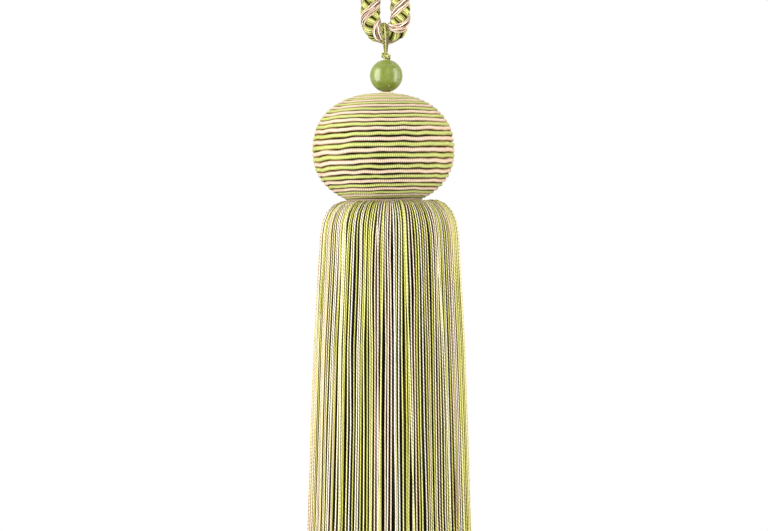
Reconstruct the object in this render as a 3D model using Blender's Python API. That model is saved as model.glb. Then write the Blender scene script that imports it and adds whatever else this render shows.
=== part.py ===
"""A hanging tassel with a braided rope loop, as a trimming maker builds it.

A loop of braided rope carries the tassel. A thin doubled thread goes round the
bottom of the rope loop, is knotted, runs down through a round painted bead and
ends in the top of the head. The head is a turned ball wound with gimp cord. The
skirt is a fringe whose heading is bound under the head: its strands turn out of
the heading, bend over a soft shoulder and hang straight down.

Everything is in metres, +Z up, with the front towards -Y. The origin is the
point where a hook bears, under the top bend of the rope loop.
"""

import math
import random
from collections import namedtuple

import bmesh
import bpy
from mathutils import Vector
from mathutils.geometry import interpolate_bezier

MM = 0.001

# Rope loop: an endless round braid, narrow at the bottom and wider at the top.
# Its centreline from the bight up the right leg to the top; the left leg mirrors it.
RopePlace = namedtuple("RopePlace", "across_mm height_mm")
ROPE_HALF_ROUTE = (
    RopePlace(0.0, -57.3),
    RopePlace(3.4, -56.4),
    RopePlace(5.9, -53.9),
    RopePlace(6.85, -50.4),
    RopePlace(6.85, -45.0),
    RopePlace(6.85, -39.3),
    RopePlace(7.3, -33.0),
    RopePlace(8.6, -25.0),
    RopePlace(10.2, -16.5),
    RopePlace(11.0, -10.0),
    RopePlace(10.9, -4.8),
    RopePlace(9.0, 0.2),
    RopePlace(5.0, 3.6),
    RopePlace(0.0, 4.7),
)
ROPE_DIAMETER = 9.4 * MM
BRAID_TURNS = 7
BRAID_STEPS_PER_TURN = 12
BRAID_SIDES = 14
BRAID_RIDGE = 0.8 * MM
CROSSING_HEIGHT = 0.75

# Thread round the rope's bight
THREAD_DIAMETER = 1.9 * MM
THREAD_GAP = 0.4 * MM
THREAD_ENDS_APART = 1.05 * MM
THREAD_ARC_STEPS = 22
TUBE_RESOLUTION = 2

# Knot: a lump with a few slanting lobes, a little under the rope
KNOT_DROP = 9.7 * MM
KNOT_SIZE = (4.2 * MM, 3.8 * MM, 3.5 * MM)
KNOT_SEGMENTS = 14
KNOT_RINGS = 9
KNOT_LOBES = 3
KNOT_LOBE_HEIGHT = 0.12
KNOT_LOBE_SLANT = 3.5
STEM_IN_KNOT = 0.2 * MM
STEM_IN_HEAD = 6.0 * MM

# Bead
BEAD_DROP = 19.0 * MM
BEAD_DIAMETER = 15.0 * MM
BEAD_HOLE_DIAMETER = 2.6 * MM
BEAD_PROFILE_STEPS = 13
BEAD_SIDES = 24
SIDE_STEP_BEAD = 0.4 * MM

# Head: a flattened ball wound with gimp cord
HEAD_DIAMETER = 65.4 * MM
HEAD_CROWN_HEIGHT = 26.4 * MM
HEAD_BASE_HEIGHT = 25.4 * MM
HEAD_LOWER_HEIGHT = 23.7 * MM
HEAD_SQUARENESS = 2.3
HEAD_SIDES = 28
GIMP_PITCH = 2.4 * MM
GIMP_GROOVE = 0.7 * MM
WINDING_START_RADIUS = 3.4 * MM
THREAD_HOLE_DEPTH = 7.0 * MM
THREAD_HOLE_SIDES = 12
SIDE_STEP_HEAD = -0.9 * MM

# Skirt: the bound heading under the head and five layers of strands
HEADING_DIAMETER = 29.4 * MM
HEADING_HEIGHT = 10.5 * MM
HEADING_SIDES = 40
SIDE_STEP_SKIRT = 1.7 * MM
STRAND_FILL = 0.78
STRAND_DEPTH = 1.1 * MM
STRAND_WIDEST = 1.4 * MM
STRAND_CREST_SHARE = 0.6
CUT_UNEVENNESS = 0.7 * MM
SEED = 7

# A layer's centreline in the upright plane: radius, then drop under the head's bottom
RoutePoint = namedtuple("RoutePoint", "radius_mm drop_mm")
Layer = namedtuple("Layer", "strands route")
LAYERS = (
    Layer(
        strands=120,
        route=(
            RoutePoint(13.7, 2.6),
            RoutePoint(19.2, -0.2),
            RoutePoint(24.8, 0.7),
            RoutePoint(29.0, 4.3),
            RoutePoint(31.8, 12.0),
            RoutePoint(33.4, 32.0),
            RoutePoint(39.3, 184.0),
        ),
    ),
    Layer(
        strands=70,
        route=(
            RoutePoint(13.7, 5.6),
            RoutePoint(24.5, 5.0),
            RoutePoint(30.0, 16.0),
            RoutePoint(37.0, 183.0),
        ),
    ),
    Layer(
        strands=40,
        route=(
            RoutePoint(13.7, 8.6),
            RoutePoint(23.0, 13.0),
            RoutePoint(33.0, 182.0),
        ),
    ),
    Layer(
        strands=32,
        route=(
            RoutePoint(11.0, 9.8),
            RoutePoint(14.0, 26.0),
            RoutePoint(23.0, 181.0),
        ),
    ),
    Layer(
        strands=18,
        route=(
            RoutePoint(6.0, 9.8),
            RoutePoint(7.0, 26.0),
            RoutePoint(12.0, 180.0),
        ),
    ),
)

# Waves round the skirt in which neighbouring strands lean sideways together
LeanWave = namedtuple("LeanWave", "waves degrees phase")
LEAN_WAVES = (LeanWave(2, 1.0, 0.6), LeanWave(5, 0.6, 1.9))

# Clearance between pieces that touch on the real tassel
SEAT_GAP = 0.3 * MM

# How the meshes are made
FINE_STEPS = 2000
ROPE_STEPS_BETWEEN_PLACES = 60
SAME_PLACE = 0.01 * MM
SHARP_EDGE = math.radians(50)

# Heights worked out from the sizes above
ROPE_RADIUS = ROPE_DIAMETER / 2
BIGHT_Z = ROPE_HALF_ROUTE[0].height_mm * MM
KNOT_Z = BIGHT_Z - KNOT_DROP
BEAD_Z = BIGHT_Z - BEAD_DROP
HEAD_TOP_Z = BEAD_Z - BEAD_DIAMETER / 2 - SEAT_GAP
HEAD_WIDEST_Z = HEAD_TOP_Z - HEAD_CROWN_HEIGHT
HEAD_BOTTOM_Z = HEAD_WIDEST_Z - HEAD_LOWER_HEIGHT
HEADING_TOP_Z = HEAD_BOTTOM_Z - SEAT_GAP


def clear_scene():
    for obj in list(bpy.data.objects):
        bpy.data.objects.remove(obj)


def material(name, colour, roughness, coat=0.0):
    made = bpy.data.materials.new(name)
    made.use_nodes = True
    shader = made.node_tree.nodes["Principled BSDF"]
    shader.inputs["Base Color"].default_value = (*colour, 1.0)
    shader.inputs["Roughness"].default_value = roughness
    shader.inputs["Metallic"].default_value = 0.0
    shader.inputs["Coat Weight"].default_value = coat
    return made


def object_from(bm, name, surface):
    """The finished mesh as a named object, with its faces pointing out."""
    bmesh.ops.recalc_face_normals(bm, faces=bm.faces)
    mesh = bpy.data.meshes.new(name)
    bm.to_mesh(mesh)
    bm.free()
    mesh.materials.append(surface)
    mesh.shade_smooth()
    mesh.set_sharp_from_angle(angle=SHARP_EDGE)
    made = bpy.data.objects.new(name, mesh)
    bpy.context.scene.collection.objects.link(made)
    return made


def combine(target, helper, operation):
    """Joins a helper solid to the target, or cuts it away, and hides the helper."""
    helper.hide_render = True
    helper.display_type = "WIRE"
    step = target.modifiers.new(helper.name, "BOOLEAN")
    step.operation = operation
    step.solver = "EXACT"
    step.object = helper


def spun(bm, profile, sides):
    """Turns a profile of points once round Z."""
    corners = [bm.verts.new(place) for place in profile]
    edges = [bm.edges.new(pair) for pair in zip(corners, corners[1:])]
    bmesh.ops.spin(
        bm,
        geom=corners + edges,
        cent=(0, 0, 0),
        axis=(0, 0, 1),
        angle=2 * math.pi,
        steps=sides,
        use_merge=True,
    )
    bmesh.ops.remove_doubles(bm, verts=bm.verts, dist=SAME_PLACE)


def skin(bm, rings):
    """Faces between each ring of corners and the next."""
    for ring, following in zip(rings, rings[1:]):
        for a, b, c, d in zip(ring, ring[1:] + ring[:1], following[1:] + following[:1], following):
            bm.faces.new((a, b, c, d))


def line_length(line):
    return sum((b - a).length for a, b in zip(line, line[1:]))


def spaced(line, steps):
    """Places at equal steps along a fine line, each with the line's direction there."""
    step_length = line_length(line) / steps
    found = []
    at = 0
    passed = 0.0
    for step in range(steps + 1):
        run = line[at + 1] - line[at]
        while at < len(line) - 2 and passed + run.length < step * step_length:
            passed += run.length
            at += 1
            run = line[at + 1] - line[at]
        share = (step * step_length - passed) / run.length
        found.append((line[at] + run * share, run.normalized()))
    return found


# The rope loop


def rope_line():
    """The rope's centreline once round the loop: a smooth curve through its route's places."""
    right = [Vector((place.across_mm, 0, place.height_mm)) * MM for place in ROPE_HALF_ROUTE]
    left = [Vector((-place.x, 0, place.z)) for place in reversed(right[1:-1])]
    loop = right + left
    line = []
    for at, place in enumerate(loop):
        before, after, beyond = (loop[(at + step) % len(loop)] for step in (-1, 1, 2))
        leaving = place + (after - before) / 6
        arriving = after - (beyond - place) / 6
        points = interpolate_bezier(place, leaving, arriving, after, ROPE_STEPS_BETWEEN_PLACES)
        line.extend(points[:-1])
    return line + [loop[0]]


def braid_height(turn, along):
    """Relief of the braid, 0 to 1: two raised spirals, with crossing strands between."""
    spiral = math.cos(2 * math.pi * (turn - along)) ** 2
    crossing = abs(math.cos(4 * math.pi * (turn + along)))
    return max(spiral, CROSSING_HEIGHT * crossing)


def make_rope_loop(surface):
    """A ring of braided rope, its relief raised in the skin's corners."""
    steps = BRAID_TURNS * BRAID_STEPS_PER_TURN
    bm = bmesh.new()
    rings = []
    for step, (centre, run) in enumerate(spaced(rope_line(), steps)[:-1]):
        outwards = Vector((run.z, 0, -run.x))
        ring = []
        for side in range(BRAID_SIDES):
            turn = side / BRAID_SIDES
            height = braid_height(turn, step / BRAID_STEPS_PER_TURN)
            radius = ROPE_RADIUS - BRAID_RIDGE * (1 - height)
            angle = 2 * math.pi * turn
            arm = outwards * math.cos(angle) + Vector((0, 1, 0)) * math.sin(angle)
            ring.append(bm.verts.new(centre + arm * radius))
        rings.append(ring)
    skin(bm, rings + rings[:1])
    return object_from(bm, "rope_loop", surface)


# The thread round the rope, its knot and its stem


def thread_route():
    """One turn round the rope's bight in the plane x = 0, with both ends in the knot."""
    reach = ROPE_RADIUS + THREAD_GAP + THREAD_DIAMETER / 2
    end = Vector((0, THREAD_ENDS_APART, KNOT_Z - BIGHT_Z))
    start_angle = math.atan2(end.z, end.y) + math.acos(reach / end.length)
    sweep = math.pi - 2 * start_angle
    route = [end]
    for step in range(THREAD_ARC_STEPS + 1):
        angle = start_angle + sweep * step / THREAD_ARC_STEPS
        route.append(Vector((0, reach * math.cos(angle), reach * math.sin(angle))))
    route.append(Vector((0, -end.y, end.z)))
    return [place + Vector((0, 0, BIGHT_Z)) for place in route]


def tube(name, route, diameter, surface):
    """A plain round tube with closed ends, through the route's points."""
    curve = bpy.data.curves.new(name, "CURVE")
    curve.dimensions = "3D"
    curve.bevel_depth = diameter / 2
    curve.bevel_resolution = TUBE_RESOLUTION
    curve.use_fill_caps = True
    spline = curve.splines.new("POLY")
    spline.points.add(len(route) - 1)
    for point, place in zip(spline.points, route):
        point.co = (*place, 1)
    scratch = bpy.data.objects.new(name, curve)
    bm = bmesh.new()
    bm.from_mesh(scratch.to_mesh())
    bpy.data.objects.remove(scratch)
    bmesh.ops.remove_doubles(bm, verts=bm.verts, dist=SAME_PLACE)
    return object_from(bm, name, surface)


def make_knot(name, surface):
    """A lumpy overhand knot: a flattened ball with slanting lobes."""
    bm = bmesh.new()
    bmesh.ops.create_uvsphere(bm, u_segments=KNOT_SEGMENTS, v_segments=KNOT_RINGS, radius=1)
    for vert in bm.verts:
        angle = math.atan2(vert.co.y, vert.co.x)
        lobe = math.cos(KNOT_LOBES * angle + KNOT_LOBE_SLANT * vert.co.z)
        vert.co *= 1 + KNOT_LOBE_HEIGHT * lobe * (1 - vert.co.z**2)
    bmesh.ops.scale(bm, vec=[size / 2 for size in KNOT_SIZE], verts=bm.verts)
    bmesh.ops.translate(bm, vec=(SIDE_STEP_BEAD / 2, 0, KNOT_Z), verts=bm.verts)
    return object_from(bm, name, surface)


def make_suspension_thread(surface):
    """The knot, with the loop above it and the stem below it joined on."""
    stem_route = [
        Vector((SIDE_STEP_BEAD, 0, KNOT_Z - STEM_IN_KNOT)),
        Vector((SIDE_STEP_BEAD, 0, HEAD_TOP_Z - STEM_IN_HEAD)),
    ]
    thread = make_knot("suspension_thread", surface)
    combine(thread, tube("thread_loop", thread_route(), THREAD_DIAMETER, surface), "UNION")
    combine(thread, tube("thread_stem", stem_route, THREAD_DIAMETER, surface), "UNION")
    return thread


# The bead


def make_bead(surface):
    """A turned ball with a hole along its axis."""
    radius = BEAD_DIAMETER / 2
    rim_angle = math.asin(BEAD_HOLE_DIAMETER / BEAD_DIAMETER)
    profile = []
    for step in range(BEAD_PROFILE_STEPS + 1):
        angle = rim_angle + (math.pi - 2 * rim_angle) * step / BEAD_PROFILE_STEPS
        profile.append(Vector((radius * math.sin(angle), 0, radius * math.cos(angle))))
    bm = bmesh.new()
    spun(bm, profile + profile[:1], BEAD_SIDES)
    made = object_from(bm, "bead", surface)
    made.location = (SIDE_STEP_BEAD, 0, BEAD_Z)
    return made


# The wound head


def head_outline():
    """Points down the head's side, from its winding's start, about its widest place."""
    half_width = HEAD_DIAMETER / 2
    top_angle = math.asin((WINDING_START_RADIUS / half_width) ** (HEAD_SQUARENESS / 2))
    deepest = (HEAD_LOWER_HEIGHT / HEAD_BASE_HEIGHT) ** (HEAD_SQUARENESS / 2)
    end_angle = math.pi / 2 + math.asin(deepest)
    outline = []
    for step in range(FINE_STEPS + 1):
        angle = top_angle + (end_angle - top_angle) * step / FINE_STEPS
        side = abs(math.sin(angle)) ** (2 / HEAD_SQUARENESS)
        rise = abs(math.cos(angle)) ** (2 / HEAD_SQUARENESS)
        height = HEAD_CROWN_HEIGHT * rise if angle < math.pi / 2 else -HEAD_BASE_HEIGHT * rise
        outline.append(Vector((half_width * side, 0, height)))
    return outline


def wound_profile():
    """The head's outline with a crest for each turn of gimp and a groove between turns."""
    outline = head_outline()
    half_turns = 2 * round(line_length(outline) / GIMP_PITCH)
    profile = []
    for half_turn, (place, run) in enumerate(spaced(outline, half_turns)):
        inwards = Vector((run.z, 0, -run.x))
        in_groove = half_turn % 2 == 0 and 0 < half_turn < half_turns
        profile.append(place + inwards * (GIMP_GROOVE if in_groove else 0.0))
    return profile


def make_thread_hole():
    """The cutter of the thread's blind hole in the head, in line with the bead."""
    bm = bmesh.new()
    bmesh.ops.create_cone(
        bm,
        cap_ends=True,
        segments=THREAD_HOLE_SIDES,
        radius1=BEAD_HOLE_DIAMETER / 2,
        radius2=BEAD_HOLE_DIAMETER / 2,
        depth=2 * THREAD_HOLE_DEPTH,
    )
    mesh = bpy.data.meshes.new("thread_hole")
    bm.to_mesh(mesh)
    bm.free()
    cutter = bpy.data.objects.new("thread_hole", mesh)
    cutter.location = (SIDE_STEP_BEAD, 0, HEAD_TOP_Z)
    bpy.context.scene.collection.objects.link(cutter)
    return cutter


def make_head(surface):
    """A turned solid with the wound outline, drilled under the bead for the thread."""
    outline = wound_profile()
    top_centre = Vector((0, 0, outline[0].z))
    bottom_centre = Vector((0, 0, outline[-1].z))
    bm = bmesh.new()
    spun(bm, [top_centre] + outline + [bottom_centre], HEAD_SIDES)
    made = object_from(bm, "head", surface)
    made.location = (SIDE_STEP_HEAD, 0, HEAD_WIDEST_Z)
    combine(made, make_thread_hole(), "DIFFERENCE")
    return made


# The skirt


def lean(angle, share):
    """How far the strands at an angle lean sideways, at a share of their length."""
    degrees = sum(wave.degrees * math.sin(wave.waves * angle + wave.phase) for wave in LEAN_WAVES)
    return math.radians(degrees) * share


def strand_frames(layer, number, chance):
    """Place, outward direction and width of one strand at each point of its route."""
    route = [(point.radius_mm * MM, point.drop_mm * MM) for point in layer.route]
    end_radius, end_drop = route[-1]
    route[-1] = (end_radius, end_drop + chance.uniform(-1, 1) * CUT_UNEVENNESS)
    start_angle = 2 * math.pi * (number + 0.5) / layer.strands
    frames = []
    for at, (radius, drop) in enumerate(route):
        angle = start_angle + lean(start_angle, max(0.0, drop / route[-1][1]))
        before, after = route[max(at - 1, 0)], route[min(at + 1, len(route) - 1)]
        run = Vector((after[0] - before[0], before[1] - after[1])).normalized()
        arm = Vector((math.cos(angle), math.sin(angle), 0))
        place = arm * radius + Vector((0, 0, -drop))
        outwards = arm * -run.y + Vector((0, 0, run.x))
        width = STRAND_FILL * 2 * math.pi * radius / layer.strands
        frames.append((place, outwards, min(width, STRAND_WIDEST)))
    return frames


def strand_corners(place, outwards, width):
    """The three corners of a strand's section: two on its inner side and one outside."""
    sideways = Vector((-place.y, place.x, 0)).normalized()
    depth = min(STRAND_DEPTH, width)
    inner = place - outwards * depth * (1 - STRAND_CREST_SHARE)
    return (
        inner - sideways * width / 2,
        inner + sideways * width / 2,
        place + outwards * depth * STRAND_CREST_SHARE,
    )


def add_strand(bm, frames):
    """Skins a three-sided section through the frames and closes both ends."""
    rings = [[bm.verts.new(corner) for corner in strand_corners(*frame)] for frame in frames]
    skin(bm, rings)
    bm.faces.new(rings[0])
    bm.faces.new(rings[-1])


def make_strands(surface):
    chance = random.Random(SEED)
    bm = bmesh.new()
    for layer in LAYERS:
        for number in range(layer.strands):
            add_strand(bm, strand_frames(layer, number, chance))
    made = object_from(bm, "skirt_strands", surface)
    made.location = (SIDE_STEP_SKIRT, 0, HEAD_BOTTOM_Z)
    return made


def make_skirt(surface):
    """The bound heading, a short drum, with every strand's root fused into its side."""
    bm = bmesh.new()
    bmesh.ops.create_cone(
        bm,
        cap_ends=True,
        segments=HEADING_SIDES,
        radius1=HEADING_DIAMETER / 2,
        radius2=HEADING_DIAMETER / 2,
        depth=HEADING_HEIGHT,
    )
    skirt = object_from(bm, "skirt", surface)
    skirt.location = (SIDE_STEP_SKIRT, 0, HEADING_TOP_Z - HEADING_HEIGHT / 2)
    combine(skirt, make_strands(surface), "UNION")
    return skirt


def build():
    clear_scene()
    make_rope_loop(material("rope_yarn", (0.50, 0.52, 0.20), roughness=0.55))
    make_suspension_thread(material("thread_yarn", (0.46, 0.48, 0.20), roughness=0.6))
    make_bead(material("green_paint", (0.27, 0.34, 0.07), roughness=0.3, coat=0.4))
    make_head(material("gimp_cord", (0.66, 0.62, 0.32), roughness=0.6))
    make_skirt(material("skirt_yarn", (0.54, 0.52, 0.22), roughness=0.6))


build()
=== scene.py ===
# %% [markdown]
# # A hanging tassel, yarn by yarn
#
# A trimming maker builds this tassel from a loop of braided rope, a knotted thread,
# a painted bead, a ball wound with gimp cord and a long skirt of twisted yarn. The
# plain model has the same five pieces at their real size. This lesson dresses it:
# each piece gets its own yarns or its own turned form, and a finish made of nodes.
# Lengths are in metres, +Z is up and the front looks towards -Y.

# %% Load the plain tassel
import math
import random

import bmesh
import bpy
import numpy as np
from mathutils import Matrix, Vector, noise
from mathutils.geometry import interpolate_bezier


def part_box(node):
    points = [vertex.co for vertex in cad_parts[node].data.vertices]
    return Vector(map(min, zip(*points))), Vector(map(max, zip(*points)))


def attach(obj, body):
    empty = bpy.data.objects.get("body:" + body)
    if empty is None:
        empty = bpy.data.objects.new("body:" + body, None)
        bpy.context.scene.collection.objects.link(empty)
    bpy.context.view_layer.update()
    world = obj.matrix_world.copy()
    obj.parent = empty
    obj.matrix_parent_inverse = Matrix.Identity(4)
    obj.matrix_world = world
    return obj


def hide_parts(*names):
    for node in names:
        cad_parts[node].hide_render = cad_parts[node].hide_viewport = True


MM = 0.001
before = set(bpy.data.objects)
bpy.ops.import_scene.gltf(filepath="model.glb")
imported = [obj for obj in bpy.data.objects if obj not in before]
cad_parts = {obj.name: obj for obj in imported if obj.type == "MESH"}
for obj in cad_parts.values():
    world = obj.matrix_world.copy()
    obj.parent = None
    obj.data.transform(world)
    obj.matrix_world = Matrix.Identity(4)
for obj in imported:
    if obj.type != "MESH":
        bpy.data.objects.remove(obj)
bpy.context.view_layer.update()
for node_name in sorted(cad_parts):
    low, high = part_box(node_name)
    print(node_name, [round(side / MM, 1) for side in high - low], "mm")

# %% [markdown]
# ## The camera
#
# The photo was taken level and from far off with a long lens, so upright lines stay
# upright and the ball's rings look almost straight. One photo pixel is 0.46 mm on
# the tassel, and the lens follows from that and from the distance.

# %% Place the camera
PIXEL = 0.46 * MM
PHOTO_WIDTH, PHOTO_HEIGHT = 768, 531
ROPE_AXIS_COLUMN = 385.4
HANG_POINT_ROW = -90.07
CAMERA_DISTANCE = 1.38
SENSOR_WIDTH_MM = 36.0

camera_data = bpy.data.cameras.new("camera")
camera_data.sensor_width = SENSOR_WIDTH_MM
camera_data.lens = SENSOR_WIDTH_MM * CAMERA_DISTANCE / (PHOTO_WIDTH * PIXEL)
camera_data.clip_end = 30
camera = bpy.data.objects.new("camera", camera_data)
camera.location = (
    (PHOTO_WIDTH / 2 - ROPE_AXIS_COLUMN) * PIXEL,
    -CAMERA_DISTANCE,
    -(PHOTO_HEIGHT / 2 - HANG_POINT_ROW) * PIXEL,
)
camera.rotation_euler = (math.radians(90), 0, 0)
bpy.context.scene.collection.objects.link(camera)
bpy.context.scene.camera = camera
print("lens", round(camera_data.lens, 1), "mm at", [round(x, 4) for x in camera.location])

# %% [markdown]
# ## Smooth lines
#
# Rope, thread, gimp and skirt yarn all follow smooth lines. A few listed places are
# enough: Bezier handles taken from each place's neighbours round the line off, as
# the curve editor's automatic handles do. Points at equal distances along the line
# then keep every yarn's faces the same length.

# %% Helpers for lines


def smooth_line(places, closed=False, steps=24):
    """A smooth line through the places, as an array of points."""
    places = [Vector(place) for place in places]
    last = len(places) - 1
    line = []
    for at in range(len(places) if closed else last):
        around = [at - 1, at, at + 1, at + 2]
        around = [i % (last + 1) if closed else min(max(i, 0), last) for i in around]
        before, start, end, beyond = (places[i] for i in around)
        leaving = start + (end - before) / 6
        arriving = end - (beyond - start) / 6
        line.extend(interpolate_bezier(start, leaving, arriving, end, steps)[:-1])
    line.append(places[0] if closed else places[last])
    return np.array(line)


def distances(line):
    """How far along the line each of its points lies."""
    return np.append(0, np.cumsum(np.linalg.norm(np.diff(line, axis=0), axis=1)))


def at_distances(line, wanted):
    """The places at given distances along the line."""
    along = distances(line)
    return np.stack([np.interp(wanted, along, column) for column in line.T], axis=1)


def evenly(line, count):
    """Points at equal distances along the line, its ends included."""
    return at_distances(line, np.linspace(0, distances(line)[-1], count))


# %% [markdown]
# ## The rope's route
#
# The rope is an endless loop. Both legs hang straight down to a tight bight that
# holds the thread. Above the photo's edge the loop widens a little and closes round
# the hook that carries it.

# %% Lay out the rope's centreline
ROPE_HALF_ROUTE_MM = (
    (0.0, -57.3), (3.4, -56.4), (5.9, -53.9), (6.85, -50.4), (6.85, -45.0),
    (6.85, -39.3), (7.3, -33.0), (8.6, -25.0), (10.2, -16.5), (11.0, -10.0),
    (10.9, -4.8), (9.0, 0.2), (5.0, 3.6), (0.0, 4.7),
)
ROPE_DIAMETER = 9.4 * MM
BRAID_TURNS = 7
STEPS_PER_BRAID_TURN = 28

right_leg = [(across * MM, 0, height * MM) for across, height in ROPE_HALF_ROUTE_MM]
left_leg = [(-x, y, z) for x, y, z in reversed(right_leg[1:-1])]
rope_line = smooth_line(right_leg + left_leg, closed=True)
rope_path = evenly(rope_line, BRAID_TURNS * STEPS_PER_BRAID_TURN + 1)[:-1]
bight = Vector(right_leg[0])

# %% [markdown]
# ## Yarns as bevelled curves
#
# A yarn is a long thin tube. Hundreds of them are made quickest as one curve object
# with a round bevel and a spline for each yarn, turned into a mesh. The bevel also
# gives a UV map that runs along and round each yarn. It is stretched to millimetres
# here, so one twist pattern fits every length. A dye attribute holds each yarn's
# colour with painted shade multiplied in, and bmesh closes the ends. Yarns that lie
# side by side shade each other's flanks, so that shade is painted into the colour
# where a yarn doesn't face outwards.

# %% Helper for yarns
HALF_MM_BEVEL = 0.5 * MM
YARN_START_MM = 7.31
# Painted shade: the tint a yarn's flank is darkened to where it doesn't face outwards.
FLANK_SHADE_TINT = np.array([0.040, 0.026, 0.004])
FLANK_FACING = 0.56
CROWN_FLATNESS = 0.7
CROWN_FACING = 0.95


def yarn_mesh(
    name, routes, widths, dyes, sides, closed=False, outward=None, shade_tint=FLANK_SHADE_TINT, flank=FLANK_FACING
):
    """One mesh of many yarns. A width or a dye is one value, or one for each point. With outward directions,
    painted shade darkens the flanks.
    """
    curve = bpy.data.curves.new(name, "CURVE")
    curve.dimensions = "3D"
    curve.bevel_depth = HALF_MM_BEVEL
    curve.bevel_resolution = sides // 2 - 2
    for route, width in zip(routes, widths):
        spline = curve.splines.new("POLY")
        spline.points.add(len(route) - 1)
        spline.points.foreach_set("co", np.c_[route, np.ones(len(route))].ravel())
        thickness = np.broadcast_to(width, len(route)) / (2 * HALF_MM_BEVEL)
        spline.points.foreach_set("radius", thickness)
        spline.use_cyclic_u = closed
    guide = bpy.data.objects.new(name, curve)
    bpy.context.scene.collection.objects.link(guide)
    depsgraph = bpy.context.evaluated_depsgraph_get()
    mesh = bpy.data.meshes.new_from_object(guide.evaluated_get(depsgraph))
    bpy.data.objects.remove(guide)
    close_ends(mesh, sides)
    owners = np.repeat(np.arange(len(routes)), [len(route) * sides for route in routes])
    stretch_uv(mesh, owners, [np.vstack([route, route[:1]]) if closed else route for route in routes])
    dyes = [np.broadcast_to(dye, (len(route), 3)) for dye, route in zip(dyes, routes)]
    colours = np.repeat(np.concatenate(dyes), sides, axis=0)
    # Painted shade on the flanks, where neighbouring yarns would shade them.
    if outward is not None:
        centres, outward = np.concatenate(routes), np.concatenate(outward)
        colours = colours * flank_shade(mesh, centres, outward, shade_tint, flank, sides)
    dye = mesh.color_attributes.new("dye", "FLOAT_COLOR", "POINT")
    dye.data.foreach_set("color", np.c_[colours, np.ones(len(owners))].ravel())
    mesh.shade_smooth()
    return mesh


def unit(vectors):
    """Each row of an array, made one long."""
    return vectors / np.linalg.norm(vectors, axis=1)[:, None]


def flank_shade(mesh, centres, outward, shade_tint, flank, sides):
    """Painted shade at each point: the whole dye on the crown, only a dark tint on the flanks."""
    places = np.zeros(3 * len(mesh.vertices))
    mesh.vertices.foreach_get("co", places)
    from_centre = unit(places.reshape(-1, 3) - np.repeat(centres, sides, axis=0))
    facing = np.sum(from_centre * np.repeat(unit(outward), sides, axis=0), axis=1)
    share = np.clip((facing - flank) / (CROWN_FACING - flank), 0, 1)[:, None]
    shade_tint = np.repeat(np.broadcast_to(shade_tint, centres.shape), sides, axis=0)
    return shade_tint + (1 - shade_tint) * share ** CROWN_FLATNESS


def close_ends(mesh, sides):
    """Fills the open ends of a mesh of tubes."""
    bm = bmesh.new()
    bm.from_mesh(mesh)
    bmesh.ops.holes_fill(bm, edges=bm.edges, sides=sides)
    bm.to_mesh(mesh)
    bm.free()


def stretch_uv(mesh, owners, routes):
    """Makes u run in millimetres along each yarn, where v runs once round it.

    The bevel's u counts a route's points, so it is changed to real distances. Each
    yarn starts at its own u, so that the twists of neighbours don't line up.
    """
    corners = np.zeros(len(mesh.loops), int)
    mesh.loops.foreach_get("vertex_index", corners)
    uv = np.zeros(2 * len(corners))
    mesh.uv_layers[0].data.foreach_get("uv", uv)
    for number, route in enumerate(routes):
        mine = np.flatnonzero(owners[corners] == number)
        along = distances(route) / MM
        point = uv[0::2][mine] * (len(route) - 1)
        uv[2 * mine] = np.interp(point, np.arange(len(route)), along) + YARN_START_MM * number
    mesh.uv_layers[0].data.foreach_set("uv", uv)


def add_piece(name, mesh, stands_for):
    """Shows a finished mesh as a piece that rides on the tassel, in place of a plain one."""
    piece = bpy.data.objects.new(name, mesh)
    bpy.context.scene.collection.objects.link(piece)
    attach(piece, "root")
    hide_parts(stands_for)
    triangles = sum(len(face.vertices) - 2 for face in mesh.polygons)
    print(name, "has", triangles, "triangles")
    return piece


# %% [markdown]
# ## Dyes
#
# The yarns come in a few dyes: two lime greens, two pinks, cream and a warm white.
# They are written as screen colours, as a paint chart gives them, and turned into
# the linear values that shaders use.

# %% Name the dyes


def screen_colour(red, green, blue):
    """A screen colour, 0 to 255, as linear values."""
    parts = [part / 255 for part in (red, green, blue)]
    return [c / 12.92 if c < 0.04045 else ((c + 0.055) / 1.055) ** 2.4 for c in parts]


LIME = screen_colour(246, 245, 156)
MOSS = screen_colour(212, 210, 96)
PINK = screen_colour(250, 224, 196)
ROSE = screen_colour(226, 186, 154)
CREAM = screen_colour(255, 247, 214)
WARM_WHITE = screen_colour(255, 250, 242)
# The olive shade and the deep tint are painted shade, for yarns that lie deep between others.
OLIVE_SHADE = screen_colour(60, 54, 14)
DEEP_SHADE_TINT = (1.0, 0.84, 0.12)


def shaded(dye, share):
    """A dye made a little darker or lighter by a share."""
    return [part * share for part in dye]


def with_deep_shade(dye, share):
    """A dye with painted shade, as it looks deep between others, where light arrives warm and weak."""
    return [part * share * shade_tint for part, shade_tint in zip(dye, DEEP_SHADE_TINT)]


# %% [markdown]
# ## The braided rope
#
# Eight strands make the braid, four running each way round. Two of the right-handed
# ones are pink and always lie on top. The four left-handed green strands dive under
# the pink and rise over the two right-handed green ones, which makes the green
# blobs between the pink bands. Each strand is a flat ribbon of a few parallel yarns.
# A strand's height above the rope's middle depends only on how far it is from the
# nearest pink strand, so one formula lays them all. Smooth noise then shifts and
# lifts each yarn a little and turns a ribbon plain in patches, as in handmade braid.

# %% Lay the rope's yarns
PINK_YARN = 0.96 * MM
GREEN_YARN = 1.2 * MM
TOP_RADIUS = 4.22 * MM
UNDER_RADIUS = 3.2 * MM
RIBBON_CROWN = 0.5 * MM
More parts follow.
